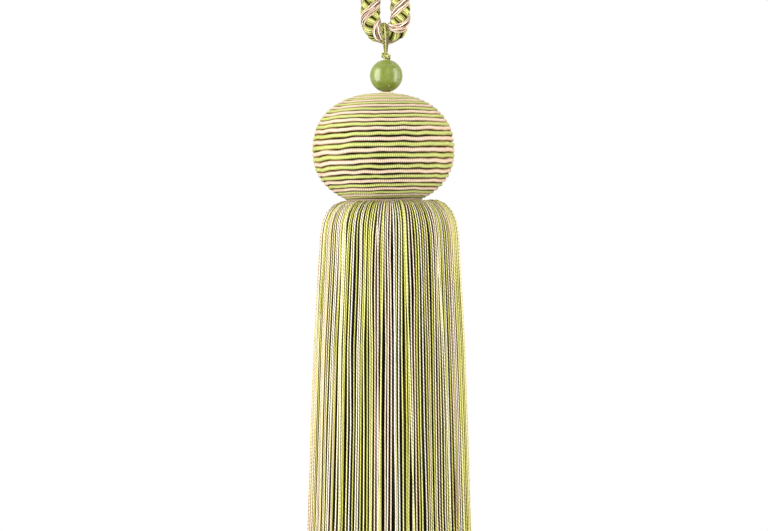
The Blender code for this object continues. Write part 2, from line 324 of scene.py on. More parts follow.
# The pink ribbon's white yarns are painted highlight lines and its rose yarn a painted shadow line; the
# green ribbon's darker edge yarns are painted shade.
ROPE_PINK = screen_colour(228, 199, 177)
ROPE_PINK_SHADOW = screen_colour(164, 122, 90)
ROPE_PINK_HIGHLIGHT = screen_colour(252, 242, 226)
ROPE_LIME = screen_colour(229, 232, 144)
ROPE_GREEN_SHADE = screen_colour(171, 175, 82)
DIVE_SHADE = 0.08
DYE_UNEVENNESS = 0.5
DYE_PATCH = 5.0 * MM
RIBBON_WANDER = math.radians(9)
RIBBON_LIFT = 0.22 * MM
WANDER_SIZE = 3.5 * MM
PLAIN_PATCH = 4.5 * MM
PLAIN_EDGE = 5.0
GREEN_PLAINNESS = 0.3
ROPE_CORE_DIAMETER = 6.2 * MM
PINK_SPREAD = math.radians(19)
GREEN_SPREAD = math.radians(18)
QUARTER_TURN = math.pi / 2
PINK_START = math.radians(-16)
RISE_ROUNDING = 0.8
DYE_STRENGTH = 0.95

path_forward = unit(np.roll(rope_path, -1, axis=0) - np.roll(rope_path, 1, axis=0))
path_outward = np.stack([path_forward[:, 2], np.zeros(len(rope_path)), -path_forward[:, 0]], axis=1)
braid_angle = 2 * math.pi * np.arange(len(rope_path)) / STEPS_PER_BRAID_TURN + PINK_START


def on_rope(angle, radius):
    """Points at an angle and distance round the rope's centreline."""
    across = np.cos(angle)[:, None] * path_outward
    across = across + np.sin(angle)[:, None] * np.array([0, 1, 0])
    return rope_path + across * np.broadcast_to(radius, len(angle))[:, None]


def wandering(places, size, seed):
    """Smooth noise of a given size at each place."""
    return np.array([noise.noise(Vector(place) / size + Vector(seed)) for place in places])


def ribbon_routes(direction, start, yarns, on_top):
    """Routes of a strand's yarns, and how much of its dye each point keeps.

    A strand that isn't on top rises between the pink ones and gets painted shade where it dives.
    """
    routes, shades = [], []
    for number in range(yarns):
        place = number - (yarns - 1) / 2
        angle = start + direction * braid_angle + place * (PINK_SPREAD if on_top else GREEN_SPREAD)
        wander = wandering(on_rope(angle, TOP_RADIUS), WANDER_SIZE, (number, 0, start))
        lift = wandering(on_rope(angle, TOP_RADIUS), WANDER_SIZE, (0, number, start))
        angle = angle + RIBBON_WANDER * wander
        from_pink = angle - braid_angle
        rise = np.ones(len(angle)) if on_top else np.sin(from_pink) ** 2
        edge = (2 * place / yarns) ** 2
        radius = UNDER_RADIUS + (TOP_RADIUS - UNDER_RADIUS) * rise ** RISE_ROUNDING
        radius = radius - RIBBON_CROWN * edge
        routes.append(on_rope(angle, radius + RIBBON_LIFT * lift))
        patches = wandering(routes[-1], DYE_PATCH, (0, number, start))
        shades.append((DIVE_SHADE + (1 - DIVE_SHADE) * rise) * (DYE_STRENGTH + DYE_UNEVENNESS * patches))
    return routes, shades


rope_routes, rope_dyes_and_shade, rope_widths = [], [], []
pink_ribbon = [ROPE_PINK, ROPE_PINK_HIGHLIGHT, ROPE_PINK_SHADOW, ROPE_PINK_HIGHLIGHT, ROPE_PINK]
green_ribbon = [ROPE_GREEN_SHADE, ROPE_LIME, ROPE_LIME, ROPE_GREEN_SHADE]
strands = [(1, math.pi * half, pink_ribbon, PINK_YARN) for half in range(2)]
strands += [(-1, QUARTER_TURN * quarter, green_ribbon, GREEN_YARN) for quarter in range(4)]
for direction, start, ribbon, width in strands:
    routes, shades = ribbon_routes(direction, start, len(ribbon), on_top=direction == 1)
    rope_routes += routes
    patches = wandering(routes[2], PLAIN_PATCH, (0, 5, start))
    plain = np.clip(patches * PLAIN_EDGE, 0, 1)[:, None] * (1 if direction == 1 else GREEN_PLAINNESS)
    ribbon = np.array(ribbon)
    rope_dyes_and_shade += [shade[:, None] * (dye + (ribbon[0] - dye) * plain) for dye, shade in zip(ribbon, shades)]
    rope_widths += [width] * len(ribbon)
print(len(rope_routes), "yarns in the braid")

# %% [markdown]
# The other two right-handed strands lie low, under the green ones, and the rope has
# a soft core. Both only show as dark places deep in the braid, so they are drawn
# with fewer yarns in painted shade. The core has no outward side, so a tiny nudge gives it one.

# %% Lay the strands that lie low
LOW_RADIUS = 3.1 * MM
LOW_SHADE = 0.25
NUDGE = (0, 0, 1e-9)

for half in range(2):
    for place in (-1, 0, 1):
        angle = QUARTER_TURN + math.pi * half + braid_angle + place * PINK_SPREAD
        rope_routes.append(on_rope(angle, LOW_RADIUS))
        rope_dyes_and_shade.append(with_deep_shade(ROPE_GREEN_SHADE, LOW_SHADE))
        rope_widths.append(PINK_YARN)
rope_routes.append(rope_path)
rope_dyes_and_shade.append(OLIVE_SHADE)
rope_widths.append(ROPE_CORE_DIAMETER)

rope_outward = [route - rope_path + NUDGE for route in rope_routes]
rope_mesh = yarn_mesh(
    "rope_braid", rope_routes, rope_widths, rope_dyes_and_shade, sides=8, closed=True, outward=rope_outward
)
rope = add_piece("rope_braid", rope_mesh, "rope_loop")

# %% [markdown]
# ## Finishes as formulas
#
# A finish is easier to read as a formula than as a row of nodes. A Wire stands for
# one output socket: adding, multiplying or taking a sine of it makes the Math node
# and gives the wire that leaves it. Wire.node makes every other node: first its
# settings, then the values or wires of its sockets.

# %% A small class for shader formulas


class Wire:
    """An output socket that can be used in a formula."""

    def __init__(self, socket):
        self.socket = socket
        self.tree = socket.id_data

    @classmethod
    def node(cls, tree, kind, settings=None, inputs=None, output=0):
        """Makes a node and gives one of its outputs."""
        made = tree.nodes.new(kind)
        for name, value in (settings or {}).items():
            if name == "stops":
                for stop, (place, colour) in zip(made.color_ramp.elements, value):
                    stop.position, stop.color = place, (*colour, 1)
            else:
                setattr(made, name, value)
        for name, value in (inputs or {}).items():
            if isinstance(value, Wire):
                tree.links.new(value.socket, made.inputs[name])
            else:
                made.inputs[name].default_value = value
        return cls(made.outputs[output])

    def calc(self, operation, *values):
        return Wire.node(self.tree, "ShaderNodeMath", {"operation": operation}, dict(enumerate(values)))

    def beside(self, output):
        """Another output of the same node."""
        return Wire(self.socket.node.outputs[output])

    def __add__(self, other):
        return self.calc("ADD", self, other)

    def __sub__(self, other):
        return self.calc("SUBTRACT", self, other)

    def __rsub__(self, other):
        return self.calc("SUBTRACT", other, self)

    def __mul__(self, other):
        return self.calc("MULTIPLY", self, other)

    def __truediv__(self, other):
        return self.calc("DIVIDE", self, other)

    def __pow__(self, other):
        return self.calc("POWER", self, other)

    def __abs__(self):
        return self.calc("ABSOLUTE", self)

    def __lt__(self, other):
        return self.calc("LESS_THAN", self, other)

    __radd__ = __add__
    __rmul__ = __mul__

    def sine(self):
        return self.calc("SINE", self)


def new_finish(name, roughness, gloss=0.5, coat=0.0):
    """A material with its Principled shader's constant values set."""
    made = bpy.data.materials.new(name)
    made.use_nodes = True
    shader = made.node_tree.nodes["Principled BSDF"]
    shader.inputs["Roughness"].default_value = roughness
    shader.inputs["Specular IOR Level"].default_value = gloss
    shader.inputs["Coat Weight"].default_value = coat
    return made, made.node_tree, shader


def connect(wire, shader, socket):
    wire.tree.links.new(wire.socket, shader.inputs[socket])


def bumped(tree, height, distance, strength=1.0):
    """A normal that makes a height show as relief of a real depth."""
    inputs = {"Height": height, "Distance": distance, "Strength": strength}
    return Wire.node(tree, "ShaderNodeBump", {}, inputs)


def mottled(tree, size, detail=2.0):
    """Soft noise of a real size, through the piece's own coordinates."""
    place = Wire.node(tree, "ShaderNodeTexCoord", {}, {}, "Object")
    inputs = {"Vector": place, "Scale": 1 / size, "Detail": detail}
    return Wire.node(tree, "ShaderNodeTexNoise", {}, inputs)


# %% [markdown]
# ## A silky two-ply yarn
#
# Two plies twisted together show as slanting ridges. With u in millimetres and v
# once round, |sin(pi (2v + u / pitch))| is a ridge for each ply. It paints shade into
# the grooves, roughens them and raises the plies. Noise along the yarn makes the dye
# uneven, as silk and rayon are.

# %% Make the yarn finish
RIDGE_ROUNDNESS = 0.6


def dyed_and_groove_shaded(tree, ridge, groove_shade, unevenness):
    """The dye attribute, whole on the ridges, with painted shade in the grooves, and a little uneven."""
    dye = Wire.node(tree, "ShaderNodeVertexColor", {"layer_name": "dye"})
    blend = {"Factor": ridge, 6: (*groove_shade, 1), 7: (1, 1, 1, 1)}
    shade_tint = Wire.node(tree, "ShaderNodeMix", {"data_type": "RGBA"}, blend, 2)
    tinted = Wire.node(tree, "ShaderNodeVectorMath", {"operation": "MULTIPLY"}, {0: dye, 1: shade_tint})
    scaled = {"Vector": tinted, "Scale": unevenness}
    return Wire.node(tree, "ShaderNodeVectorMath", {"operation": "SCALE"}, scaled)


def yarn_finish(name, pitch_mm, groove_shade, plies=2, relief=0.12 * MM, roughness=0.42, gloss=0.3):
    """Silky plied yarn in the colours of the dye attribute, with painted shade in its grooves."""
    made, tree, shader = new_finish(name, roughness, gloss=gloss)
    along = Wire.node(tree, "ShaderNodeUVMap", {"uv_map": "UVMap"})
    along = Wire.node(tree, "ShaderNodeSeparateXYZ", {}, {0: along})
    ridge = abs(((along.beside("Y") * plies + along / pitch_mm) * math.pi).sine()) ** RIDGE_ROUNDNESS
    uneven = mottled(tree, 6 * MM) * 0.5 + mottled(tree, 0.7 * MM) * 0.5
    connect(dyed_and_groove_shaded(tree, ridge, groove_shade, uneven * 0.5 + 0.75), shader, "Base Color")
    connect(roughness + (1 - ridge) * 0.25, shader, "Roughness")
    connect(bumped(tree, ridge, relief), shader, "Normal")
    return made


rope_mesh.materials.append(yarn_finish("rope_silk", 7.0, (0.46, 0.38, 0.2), plies=4))
print("rope finished")

# %% [markdown]
# ## The suspension thread
#
# Three fine threads go round the rope's bight, fan out over its front and meet
# again at the knot. Each leaves the knot on a line that just touches the ring in
# which it goes round the rope, so the angle of that touch gives its whole route.

# %% Lay the threads round the rope
THREAD = 0.74 * MM
KNOT_DROP = 9.9 * MM
RING_RADIUS = ROPE_DIAMETER / 2 + 0.42 * MM
THREAD_ENDS_APART = 0.5 * MM
FAN_MM = (-1.15, 0.1, 1.2)
FAN_DRIFT_MM = -0.45
FAN_AT_KNOT = 0.3
FAN_PEAK, FAN_WIDTH = 0.12, 0.22
RING_STEPS = 30
THREAD_POINTS = 90
STEM_SIDE = 0.2 * MM
KNOT_TOP = 1.0 * MM

knot_place = bight + Vector((STEM_SIDE, 0, -KNOT_DROP))
knot_reach = math.hypot(THREAD_ENDS_APART, KNOT_DROP - KNOT_TOP)
knot_angle = math.atan2(KNOT_TOP - KNOT_DROP, THREAD_ENDS_APART)
touch_angle = knot_angle + math.acos(RING_RADIUS / knot_reach)


def thread_route(fan_mm):
    """One thread, from the knot up its front, over the bight and down its back."""
    kept = FAN_AT_KNOT * fan_mm * MM
    route = [(STEM_SIDE + kept, -THREAD_ENDS_APART, KNOT_TOP - KNOT_DROP)]
    for step in range(RING_STEPS + 1):
        share = step / RING_STEPS
        angle = touch_angle + (math.pi - 2 * touch_angle) * share
        height = RING_RADIUS * math.sin(angle)
        fan = fan_mm * MM * math.exp(-((share - FAN_PEAK) / FAN_WIDTH) ** 2)
        across = fan + FAN_DRIFT_MM * MM * math.sin(math.pi * share) + kept
        route.append((across, -RING_RADIUS * math.cos(angle), height))
    route.append((STEM_SIDE + kept, THREAD_ENDS_APART, KNOT_TOP - KNOT_DROP))
    line = smooth_line([bight + Vector(place) for place in route], steps=4)
    return evenly(line, THREAD_POINTS)


thread_routes = [thread_route(fan_mm) for fan_mm in FAN_MM]
print("threads", [round(distances(route)[-1] / MM, 1) for route in thread_routes], "mm")

# %% [markdown]
# ## The knot and the stem
#
# The knot is tied in a three-ply cord, which shows as two turns that slant down to
# the right. Each ply winds round the cord's route at a small distance. Winding
# needs two directions square to the route. They are carried along it from point to
# point, so they never flip.

# %% Tie the knot and run the stem through the bead
KNOT_TURNS = 2
KNOT_STEPS = 60
KNOT_WIDE, KNOT_DEEP, KNOT_TALL = 1.65 * MM, 1.4 * MM, 1.15 * MM
KNOT_SLANT = -0.46
KNOT_START = math.radians(100)
STEM_OVER_KNOT, STEM_IN_HEAD = 1.6 * MM, 5.5 * MM
STEM_POINTS = 60
CORD_PLY = 0.62 * MM
CORD_PLY_OFFSET = 0.33 * MM
CORD_LAY = 3.2 * MM


def plied(route, lay=CORD_LAY, offset=CORD_PLY_OFFSET, plies=3):
    """Routes of the plies that wind round a route."""
    forward = unit(np.gradient(route, axis=0))
    side = Vector(forward[0]).orthogonal().normalized()
    turn = 2 * math.pi * distances(route) / lay
    found = [[] for _ in range(plies)]
    for place, ahead, angle in zip(route, forward, turn):
        ahead = Vector(ahead)
        side = (side - ahead * side.dot(ahead)).normalized()
        up = ahead.cross(side)
        for ply in range(plies):
            around = angle + 2 * math.pi * ply / plies
            found[ply].append(Vector(place) + (side * math.cos(around) + up * math.sin(around)) * offset)
    return [np.array(ply) for ply in found]


def knot_route():
    """Two slanting turns round the stem, from the top of the knot to its foot."""
    route = []
    for share in np.linspace(0, 1, KNOT_STEPS):
        angle = KNOT_START - 2 * math.pi * KNOT_TURNS * share
        x = KNOT_WIDE * math.cos(angle)
        y = -KNOT_DEEP * math.sin(angle)
        z = KNOT_SLANT * x + KNOT_TALL * (1 - 2 * share)
        route.append(knot_place + Vector((x, y, z)))
    return np.array(route)


bead_low, bead_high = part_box("bead")
bead_centre = (bead_low + bead_high) / 2
head_low, head_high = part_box("head")
stem_line = np.array([
    knot_place + Vector((0, 0, STEM_OVER_KNOT)),
    Vector((bead_centre.x, 0, bead_high.z)),
    Vector((bead_centre.x, 0, head_high.z - STEM_IN_HEAD)),
])
cord_routes = plied(knot_route()) + plied(evenly(stem_line, STEM_POINTS))

# %% [markdown]
# Threads, knot and stem are one tied thing, so they are one mesh.

# %% Join the thread's yarns
# The threads and plies are lighter and darker copies of one green, which paint the light and shade of the
# twist.
THREAD_LIT_AND_SHADED = [
    screen_colour(140, 142, 69),
    screen_colour(190, 183, 118),
    screen_colour(99, 101, 39),
]
KNOT_LIT_AND_SHADED = [screen_colour(176, 178, 96), screen_colour(118, 120, 66), screen_colour(206, 200, 138)]

tied_routes = thread_routes + cord_routes
tied_widths = [THREAD] * len(thread_routes) + [CORD_PLY] * len(cord_routes)
tied_lit_and_shaded = THREAD_LIT_AND_SHADED + KNOT_LIT_AND_SHADED * 2
thread_mesh = yarn_mesh("tied_thread", tied_routes, tied_widths, tied_lit_and_shaded, sides=8)
thread_mesh.materials.append(yarn_finish("fine_thread", 1.5, (0.22, 0.18, 0.08)))
add_piece("tied_thread", thread_mesh, "suspension_thread")

# %% [markdown]
# ## The bead
#
# A bead is turned: half its outline, with the hole's wall and two softly rounded
# rims, is spun once round its axis. The paint is thick and glossy, so it has a
# coat, a faint ripple and a slightly uneven green. One tiny chip shows pale wood.

# %% Turn the bead
BEAD_RADIUS = 7.5 * MM
BEAD_HOLE_RADIUS = 1.25 * MM
BEAD_RIM = 0.35 * MM
RIM_SHAPE = ((0, 1.5), (0.25, 0.3))
BEAD_OUTLINE_STEPS = 36
BEAD_SIDES = 96


def turned_mesh(name, outline, centre, sides):
    """Spins an outline of (radius, height) once round an upright axis through centre."""
    bm = bmesh.new()
    corners = [bm.verts.new((radius, 0, height)) for radius, height in outline]
    edges = [bm.edges.new(pair) for pair in zip(corners, corners[1:])]
    bmesh.ops.spin(
        bm,
        geom=corners + edges,
        cent=(0, 0, 0),
        axis=(0, 0, 1),
        angle=2 * math.pi,
        steps=sides,
        use_merge=True,
    )
    bmesh.ops.remove_doubles(bm, verts=bm.verts, dist=0.005 * MM)
    bmesh.ops.recalc_face_normals(bm, faces=bm.faces)
    bmesh.ops.translate(bm, vec=centre, verts=bm.verts)
    mesh = bpy.data.meshes.new(name)
    bm.to_mesh(mesh)
    bm.free()
    mesh.shade_smooth()
    return mesh


rim_start = math.asin((BEAD_HOLE_RADIUS + BEAD_RIM) / BEAD_RADIUS)
rim_height = BEAD_RADIUS * math.cos(rim_start)
bead_outline = [(BEAD_HOLE_RADIUS + out * BEAD_RIM, rim_height - down * BEAD_RIM) for out, down in RIM_SHAPE]
for step in range(BEAD_OUTLINE_STEPS + 1):
    angle = rim_start + (math.pi - 2 * rim_start) * step / BEAD_OUTLINE_STEPS
    bead_outline.append((BEAD_RADIUS * math.sin(angle), BEAD_RADIUS * math.cos(angle)))
bead_outline += [(radius, -height) for radius, height in reversed(bead_outline[:2])]
bead_outline.append(bead_outline[0])
bead_mesh = turned_mesh("painted_bead", bead_outline, bead_centre, BEAD_SIDES)

# %% Paint the bead
PAINT_LIGHT = screen_colour(113, 125, 49)
PAINT_DEEP = screen_colour(99, 111, 35)
CHIP_COLOUR = screen_colour(225, 190, 160)
CHIP_PLACE = bead_centre + Vector((1.3 * MM, -5.45 * MM, -5.0 * MM))
CHIP_RADIUS = 0.3 * MM

paint, tree, shader = new_finish("green_paint", roughness=0.3, coat=0.6)
shader.inputs["Coat Roughness"].default_value = 0.17
shader.inputs["Coat IOR"].default_value = 1.5
shader.inputs["Sheen Weight"].default_value = 0.3
shader.inputs["Sheen Roughness"].default_value = 0.45
shader.inputs["Sheen Tint"].default_value = (*screen_colour(215, 232, 150), 1)
uneven = mottled(tree, 3.5 * MM)
stops = {"stops": [(0.35, PAINT_DEEP), (0.65, PAINT_LIGHT)]}
green = Wire.node(tree, "ShaderNodeValToRGB", stops, {"Fac": uneven})
place = Wire.node(tree, "ShaderNodeTexCoord", {}, {}, "Object")
from_chip = {0: place, 1: CHIP_PLACE}
from_chip = Wire.node(tree, "ShaderNodeVectorMath", {"operation": "DISTANCE"}, from_chip, "Value")
chip = from_chip < CHIP_RADIUS
colours = {"Factor": chip, 6: green, 7: (*CHIP_COLOUR, 1)}
colour = Wire.node(tree, "ShaderNodeMix", {"data_type": "RGBA"}, colours, 2)
connect(colour, shader, "Base Color")
connect(uneven * 0.12 + 0.26, shader, "Roughness")
connect(bumped(tree, mottled(tree, 1.1 * MM), 0.05 * MM, strength=0.5), shader, "Normal")
bead_mesh.materials.append(paint)
add_piece("painted_bead", bead_mesh, "bead")

# %% [markdown]
# ## The head's form
#
# The head is a flattened ball. Its outline is a superellipse: like an ellipse, but
# a little squarer at the shoulders. The gimp lies on a turned body that shows only
# as dark lines between the turns, so the body is the same outline, a little smaller.
# Its near-black colour is painted shade, for the shade deep between the turns.

# %% Turn the head's body
HEAD_RADIUS = 32.7 * MM
CROWN_HEIGHT = 26.4 * MM
BASE_HEIGHT = 25.4 * MM
LOWER_HEIGHT = 23.7 * MM
FOOT_RADIUS = 18.2 * MM
SQUARENESS = 2.3
WINDING_START = 3.4 * MM
HEAD_CENTRE = Vector(((head_low.x + head_high.x) / 2, 0, head_high.z - CROWN_HEIGHT))
OUTLINE_STEPS = 400
BODY_INSET = 1.45 * MM
BODY_STEPS, BODY_SIDES = 48, 96


def head_line(inset):
    """The head's outline as (radius, height), from its top's opening to its flat base."""
    start = math.asin((WINDING_START / HEAD_RADIUS) ** (SQUARENESS / 2))
    deepest = (LOWER_HEIGHT / BASE_HEIGHT) ** (SQUARENESS / 2)
    angles = np.linspace(start, math.pi / 2 + math.asin(deepest), OUTLINE_STEPS)
    side = np.abs(np.sin(angles)) ** (2 / SQUARENESS)
    rise = np.abs(np.cos(angles)) ** (2 / SQUARENESS)
    upper = angles < math.pi / 2
    radius = (HEAD_RADIUS - inset) * side
    radius = np.where(upper, radius, np.maximum(radius, FOOT_RADIUS - inset))
    height = np.where(upper, CROWN_HEIGHT - inset, inset - BASE_HEIGHT) * rise
    return np.stack([radius, height], axis=1)


body_line = evenly(head_line(BODY_INSET), BODY_STEPS)
body_outline = [(0, body_line[0][1])] + [tuple(place) for place in body_line]
body_outline += [(0, body_line[-1][1])]
body_mesh = turned_mesh("head_body", body_outline, HEAD_CENTRE, BODY_SIDES)

# The body's near-black colour is painted shade for the gaps between the turns.
made, tree, shader = new_finish("head_body_gap_shade", roughness=0.8, gloss=0.1)
gap_shade = {"stops": [(0.3, screen_colour(8, 6, 2)), (0.7, screen_colour(30, 22, 6))]}
connect(Wire.node(tree, "ShaderNodeValToRGB", gap_shade, {"Fac": mottled(tree, 1.5 * MM)}), shader, "Base Color")
connect(bumped(tree, mottled(tree, 0.5 * MM), 0.1 * MM), shader, "Normal")
body_mesh.materials.append(made)
add_piece("head_body", body_mesh, "head")

# %% [markdown]
# ## The gimp winding
#
# Two gimp cords, one pink and one green, are wound side by side from the top down.
# Each is a helix on the ball: one full turn moves it two cord widths along the
# outline. The turns lie tight above and looser round the widest part, where dark
# gaps show, so the pitch is a short list along the outline. A hand-wound cord
# wavers, and its neighbours waver with it, because each turn leans on the last. So
# every cord is shifted along the outline by the same smooth noise, taken at its
# place on the ball, plus a little of its own. At the ball's left and right the turns
# touch, so the cords swell there. Their flanks get painted shade, lighter at the
# left and right, where side light reaches into the gaps.

# %% Wind the gimp
GIMP_DIAMETER = 2.06 * MM
GIMP_FLANK_FACING = 0.38
SIDE_SWELL = 0.16
STEEP_SHRINK = 0.13
SIDE_LIT_FLANK_TINT = np.array([0.50, 0.33, 0.11])
PAIR_PITCH_MM = (
    (0, 4.6), (18, 4.8), (23, 4.4), (29, 4.2), (33, 4.4),
    (37, 5.05), (48, 4.8), (65, 4.9), (68, 4.0), (72, 3.85),
)
PINK_AT_FRONT = 43.9 * MM
GIMP_STEPS_PER_TURN = 110
WAVER = 0.55 * MM
WAVER_SIZE = 9.0 * MM
OWN_WAVER = 0.09 * MM
WAVER_FADE = 8 * MM
UNDERSIDE_MM = ((15.4, -22.75), (13.6, -22.75))
GIMP_SAMPLES = 2000

gimp_line = np.vstack([head_line(GIMP_DIAMETER / 2), np.array(UNDERSIDE_MM) * MM])
gimp_along = np.linspace(0, distances(gimp_line)[-1], GIMP_SAMPLES)
pair_pitch = np.interp(gimp_along / MM, *zip(*PAIR_PITCH_MM)) * MM
turns_at = np.append(0, np.cumsum(np.diff(gimp_along) / pair_pitch[1:]))
print("the winding has", round(turns_at[-1], 1), "pairs of turns")


def wavering(place, seed):
    """How far the winding is shifted along the outline at a place on the ball."""
    shared = noise.noise(Vector(place) / WAVER_SIZE) + 0.4 * noise.noise(Vector(place) / (0.4 * WAVER_SIZE))
    own = noise.noise(Vector(place) / (0.5 * WAVER_SIZE) + Vector((seed, 0, 0)))
    return WAVER * shared + OWN_WAVER * own


def on_ball(angle, along):
    """Places at an angle round the ball and a distance along its outline."""
    flat = at_distances(gimp_line, along)
    return np.stack([flat[:, 0] * np.cos(angle), flat[:, 0] * np.sin(angle), flat[:, 1]], axis=1)


def gimp_route(cord):
    """One of the two cords, from under the bead to under the head."""
    turns = np.linspace(0, turns_at[-1], int(turns_at[-1] * GIMP_STEPS_PER_TURN))
    along = np.interp(turns, turns_at, gimp_along)
    front_turns = np.interp(PINK_AT_FRONT, gimp_along, turns_at)
    angle = 2 * math.pi * (front_turns - turns) - math.pi / 2 + math.pi * cord
    places = on_ball(angle, along)
    edge = np.clip(np.minimum(along, gimp_along[-1] - along) / WAVER_FADE, 0, 1)
    shift = np.array([wavering(place, 9.0 * cord) for place in places]) * edge
    return on_ball(angle, along + shift) + np.array(HEAD_CENTRE)


GIMP_DYES = [screen_colour(226, 200, 178), screen_colour(188, 198, 114)]
gimp_names = ["gimp_pink", "gimp_green"]
gimp_meshes = []
for cord, name in enumerate(gimp_names):
    route = gimp_route(cord)
    outward = (route - np.array(HEAD_CENTRE)) / np.array([HEAD_RADIUS, HEAD_RADIUS, CROWN_HEIGHT]) ** 2
    sideways = np.abs(unit(outward)[:, 0])
    steep = np.abs(unit(outward)[:, 2])
    width = GIMP_DIAMETER * (1 + SIDE_SWELL * sideways) * (1 - STEEP_SHRINK * steep)
    # Painted shade on the flanks, lighter at the ball's left and right as side light reaches in there.
    shade_tint = FLANK_SHADE_TINT + (SIDE_LIT_FLANK_TINT - FLANK_SHADE_TINT) * sideways[:, None] ** 2
    mesh = yarn_mesh(
        name,
        [route],
        [width],
        [GIMP_DYES[cord]],
        sides=12,
        outward=[outward],
        shade_tint=shade_tint,
        flank=GIMP_FLANK_FACING,
    )
    gimp_meshes.append(mesh)
    add_piece(name, mesh, "head")

# %% [markdown]
# The winding starts with a small ring of thinner gimp, close under the bead.

# %% Lay the collar
COLLAR_RADIUS = 2.75 * MM
COLLAR_CORD = 1.0 * MM
COLLAR_RISE = -0.1 * MM
COLLAR_POINTS = 49
COLLAR_DYE = screen_colour(236, 214, 178)

collar_angle = np.linspace(math.pi / 2, 5 * math.pi / 2, COLLAR_POINTS)
collar = COLLAR_RADIUS * np.stack([np.cos(collar_angle), np.sin(collar_angle), 0 * collar_angle], axis=1)
collar += np.array([bead_centre.x, 0, head_high.z + COLLAR_RISE])
collar_mesh = yarn_mesh("gimp_collar", [collar], [COLLAR_CORD], [COLLAR_DYE], sides=12)
gimp_meshes.append(collar_mesh)
add_piece("gimp_collar", collar_mesh, "head")

# %% [markdown]
# Gimp is a core wrapped closely with fine thread, so its ridges run almost square
# across it. The same kind of formula as for the yarn makes them, with a short pitch
# and only a small slant.

# %% Finish the gimp
WRAP_MM = 0.9


def gimp_finish(name, groove_shade):
    """Silky thread wrapped closely round a core, with painted shade between the wraps."""
    made, tree, shader = new_finish(name, roughness=0.45, gloss=0.3)
    along = Wire.node(tree, "ShaderNodeUVMap", {"uv_map": "UVMap"})
    along = Wire.node(tree, "ShaderNodeSeparateXYZ", {}, {0: along})
    wrap = abs(((along / WRAP_MM + along.beside("Y")) * math.pi).sine())
    uneven = mottled(tree, 5 * MM) * 0.5 + mottled(tree, 0.5 * MM) * 0.5
    connect(dyed_and_groove_shaded(tree, wrap, groove_shade, uneven * 0.4 + 0.8), shader, "Base Color")
    connect(0.45 + (1 - wrap) * 0.2, shader, "Roughness")
    connect(bumped(tree, wrap, 0.08 * MM), shader, "Normal")
    return made


gimp_silk = gimp_finish("gimp_silk", (0.34, 0.28, 0.18))
for mesh in gimp_meshes:
    mesh.materials.append(gimp_silk)

# %% [markdown]
# ## The skirt's layers
#
# The skirt is a fringe rolled round a heading. Every yarn turns out of the heading
# under the head, bends over the shoulder and hangs. A layer is a row of yarns on
# the same upright outline. Deeper layers start lower and hang further in, and their
# yarns carry painted shade, which makes the dark gaps seen between the outer yarns.
# The deepest hang loosely, so the cut end looks full from below.

# %% Describe the layers
SKIRT_YARN = 0.69 * MM
# Painted shade on flanks facing left and right is this much lighter, as side light reaches them.
SKIRT_SIDE_LIT_TINT = np.array([0.22, 0.15, 0.05])
HANG_SHARES = (0, 0.022, 0.044, 0.066, 0.09, 0.115, 0.145, 0.19, 0.27, 0.40, 0.58, 0.78, 0.98, 1.0)
SKIRT_LENGTH_MM = 184.0
CREST_MM, CREST_DEPTH = 8, 0.3
OUTER_OUTLINE_MM = (
    (13.7, 2.6), (16.2, 1.2), (18.6, 0.3), (20.9, -0.6), (23.6, 0.1), (26.3, 1.8), (29.3, 5.8), (31.3, 13.0),
    (32.2, 26.8), (33.8, 54.4), (35.2, 82.0), (36.3, 120.0), (38.5, 184.0),
)
INNER_OUTLINES_MM = (
    ((13.7, 6.0), (21.0, 4.6), (27.0, 9.5), (29.4, 18.0), (31.0, 34.0), (33.4, 105.0), (36.2, 183.5)),
    ((13.7, 8.0), (21.5, 8.5), (26.6, 18.0), (28.8, 36.0), (31.0, 105.0), (34.0, 183.4)),
    ((11.5, 9.6), (20.0, 16.0), (25.0, 40.0), (28.0, 110.0), (31.3, 183.2)),
    ((9.0, 9.6), (15.0, 20.0), (20.0, 50.0), (24.0, 110.0), (27.5, 183.0)),
    ((6.0, 9.6), (10.0, 22.0), (14.0, 50.0), (18.0, 110.0), (22.0, 183.0)),
    ((2.5, 9.6), (5.0, 22.0), (8.0, 50.0), (11.0, 110.0), (14.5, 183.0)),
    ((1.5, 9.6), (2.0, 22.0), (3.0, 50.0), (4.5, 110.0), (7.0, 183.0)),
)


def sunk(outline_mm, depth_mm):
    """An outline that lies deeper, but starts from nearly the same place and ends level."""
    lower = []
    for radius, drop in outline_mm:
        inward = depth_mm * min(1, drop / CREST_MM + CREST_DEPTH)
        lower.append((radius - inward, drop + depth_mm * (1 - drop / SKIRT_LENGTH_MM)))
    return lower


skirt_low, skirt_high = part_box("skirt")
skirt_axis = (skirt_low.x + skirt_high.x) / 2
head_bottom = head_low.z
print("skirt hangs from", round(head_bottom / MM, 1), "mm at x =", round(skirt_axis / MM, 2), "mm")

# %% [markdown]
# Neighbouring yarns cling together in locks and leave gaps between the locks. The
# same trick as on the head does it: each yarn is shifted sideways by smooth noise
# taken at its place round the skirt, so that neighbours move alike. Each yarn also
# wanders a little by itself, and a few stray yarns slant across the others.

# %% Hang the yarns
LOCK_SHIFT = 1.1 * MM
LOCK_SIZE = 6.0 * MM
LOCK_LENGTH = 80.0 * MM
LOCK_GROWTH = 20 * MM
LOCK_AT_CREST = 0.15
WANDER = 0.27 * MM
WANDER_LENGTH = 28 * MM
DRIFT = 0.6 * MM
CUT_UNEVENNESS = 0.9 * MM
LEFT_SAG = 0.8 * MM
MIDDLE_RADIUS = 0.8 * MM
START_UNEVENNESS = 0.16


